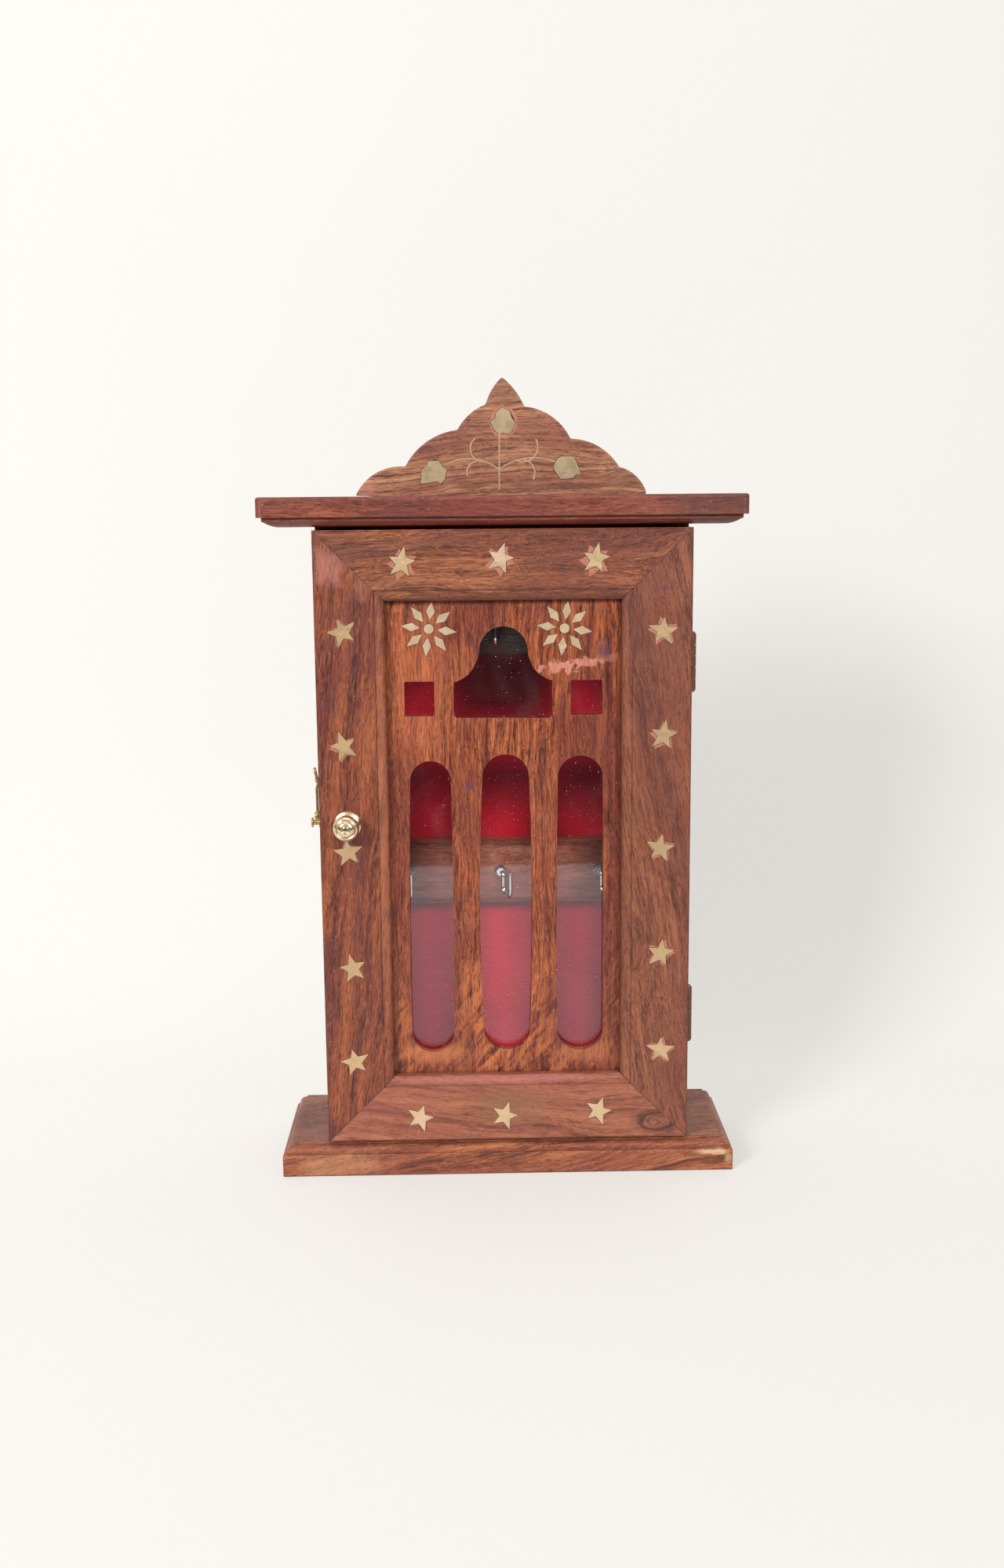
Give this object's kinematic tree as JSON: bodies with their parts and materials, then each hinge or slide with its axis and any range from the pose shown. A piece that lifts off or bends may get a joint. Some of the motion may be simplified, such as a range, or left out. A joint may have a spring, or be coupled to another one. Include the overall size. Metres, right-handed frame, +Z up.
{
  "type": "key cabinet",
  "caption": "Small upright wooden key cabinet with a hinged glazed fretwork door, brass inlay, a brass knob and swing latch, a carved crest and inner rails of cup hooks.",
  "frame": {"origin": "centre of the base's footprint, on the surface it stands on", "axes": "+X to the right seen from the front, +Y towards the back, +Z up; the door faces -Y"},
  "size_m": [0.207, 0.0735, 0.3507],
  "materials": {
    "base_wood": "satin",
    "roof_wood": "satin",
    "case_wood": "satin",
    "back_board": "matte",
    "red_velvet": "matte",
    "rail_wood": "satin",
    "hook_chrome": "polished",
    "crest_wood": "satin",
    "inlay_brass": "satin",
    "door_wood": "satin",
    "panel_wood": "satin",
    "window_glass": "gloss",
    "strip_wood": "satin",
    "polished_brass": "polished",
    "latch_brass": "polished",
    "hinge_metal": "satin",
    "screw_steel": "satin",
    "dowel_wood": "matte"
  },
  "bodies": {
    "case": {"base_board": "base_wood", "roof_board": "roof_wood", "side_left": "case_wood", "side_right": "case_wood", "back_panel": "back_board", "velvet_lining": "red_velvet", "hook_rail_lower": "rail_wood", "hook_rail_upper": "rail_wood", "hook_lower_left": "hook_chrome", "hook_lower_middle": "hook_chrome", "hook_lower_right": "hook_chrome", "hook_upper_left": "hook_chrome", "hook_upper_middle": "hook_chrome", "hook_upper_right": "hook_chrome", "crest": "crest_wood", "crest_buds": "inlay_brass", "crest_stems": "inlay_brass", "latch_plate": "latch_brass", "latch_rivet": "latch_brass", "latch_plate_pins": "latch_brass", "hinge_leaf_case_lower": "hinge_metal", "hinge_leaf_case_upper": "hinge_metal", "hinge_pin_lower": "hinge_metal", "hinge_pin_upper": "hinge_metal", "case_hinge_screws": "screw_steel", "base_screws": "screw_steel", "rail_screws": "screw_steel", "back_nails": "screw_steel", "roof_dowels": "dowel_wood", "crest_dowels": "dowel_wood"},
    "door": {"door_rail_top": "door_wood", "door_rail_bottom": "door_wood", "door_stile_left": "door_wood", "door_stile_right": "door_wood", "fretwork_panel": "panel_wood", "glass_pane": "window_glass", "glazing_strip_left": "strip_wood", "glazing_strip_right": "strip_wood", "glazing_strip_top": "strip_wood", "glazing_strip_bottom": "strip_wood", "glazing_strip_pins": "screw_steel", "stars_rail_top": "inlay_brass", "stars_rail_bottom": "inlay_brass", "stars_stile_left": "inlay_brass", "stars_stile_right": "inlay_brass", "flower_left": "inlay_brass", "flower_right": "inlay_brass", "knob": "polished_brass", "knob_stud": "screw_steel", "hinge_leaf_door_lower": "hinge_metal", "hinge_leaf_door_upper": "hinge_metal", "door_hinge_screws": "screw_steel", "latch_stud": "latch_brass"},
    "latch": {"latch_hook": "latch_brass"}
  },
  "joints": [
    {"name": "door_hinge", "type": "hinge", "parent": "case", "child": "door", "pos_m": [0.0827, -0.014, 0.14875], "axis": [0, 0, 1], "range_deg": [0, 175]},
    {"name": "latch_swing", "type": "hinge", "parent": "case", "child": "latch", "pos_m": [-0.0836, -0.008, 0.161], "axis": [1, 0, 0], "range_deg": [-90, 90]}
  ]
}
